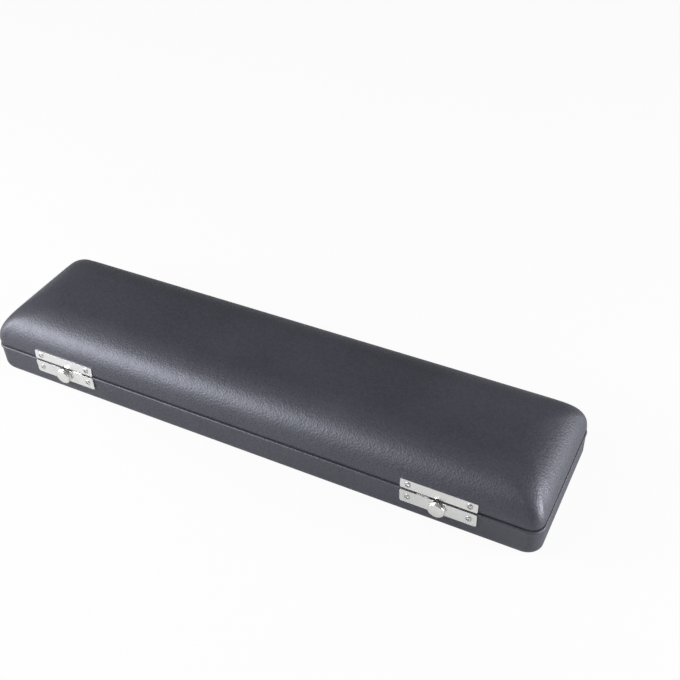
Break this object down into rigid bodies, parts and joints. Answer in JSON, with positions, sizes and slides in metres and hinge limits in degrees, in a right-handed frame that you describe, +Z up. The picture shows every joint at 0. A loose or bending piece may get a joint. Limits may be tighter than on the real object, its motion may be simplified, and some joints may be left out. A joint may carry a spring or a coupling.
{
  "type": "flute case",
  "caption": "Hard leather-covered flute case with a domed lid hinged at the back, sliding knob latches at the front and a fitted plush block inside.",
  "frame": {"origin": "middle of the flat underside, on the surface that the case rests on", "axes": "+X along the case to the right as seen from the latches, +Y towards the hinges, +Z up"},
  "size_m": [0.4, 0.1105, 0.0508],
  "materials": {
    "leathercloth": "fine pebble grain, satin",
    "wood": "bare moulded plywood",
    "plush": "short pile plush",
    "nickel": "satin nickel plate",
    "nickel_polished": "polished nickel plate",
    "steel": "plain"
  },
  "bodies": {
    "base": {"base_shell": "wood", "base_covering": "leathercloth", "base_lining": "plush", "flute_block": "plush", "latch_plate_left": "nickel", "latch_plate_right": "nickel", "latch_spring_left": "steel", "latch_spring_right": "steel", "hinge_base_leaf_left": "nickel", "hinge_base_leaf_right": "nickel", "hinge_pin_left": "steel", "hinge_pin_right": "steel"},
    "lid": {"lid_shell": "wood", "lid_covering": "leathercloth", "lid_lining": "plush", "lid_pad": "plush", "strike_plate_left": "nickel", "strike_plate_right": "nickel", "hinge_lid_leaf_left": "nickel", "hinge_lid_leaf_right": "nickel"},
    "latch_slider_left": {"latch_knob_left": "nickel_polished", "latch_bolt_left": "steel"},
    "latch_slider_right": {"latch_knob_right": "nickel_polished", "latch_bolt_right": "steel"}
  },
  "joints": [
    {"name": "lid_swing", "type": "hinge", "parent": "base", "child": "lid", "pos_m": [0, 0.0516, 0.0238], "axis": [-1, 0, 0], "range_deg": [0, 105]},
    {"name": "latch_left_slide", "type": "slide", "parent": "base", "child": "latch_slider_left", "axis": [-1, 0, 0], "range_m": [0, 0.0035], "stiffness_N_per_m": 400, "springref_m": -0.002, "deforming": ["latch_spring_left"]},
    {"name": "latch_right_slide", "type": "slide", "parent": "base", "child": "latch_slider_right", "axis": [1, 0, 0], "range_m": [0, 0.0035], "stiffness_N_per_m": 400, "springref_m": -0.002, "deforming": ["latch_spring_right"]}
  ]
}
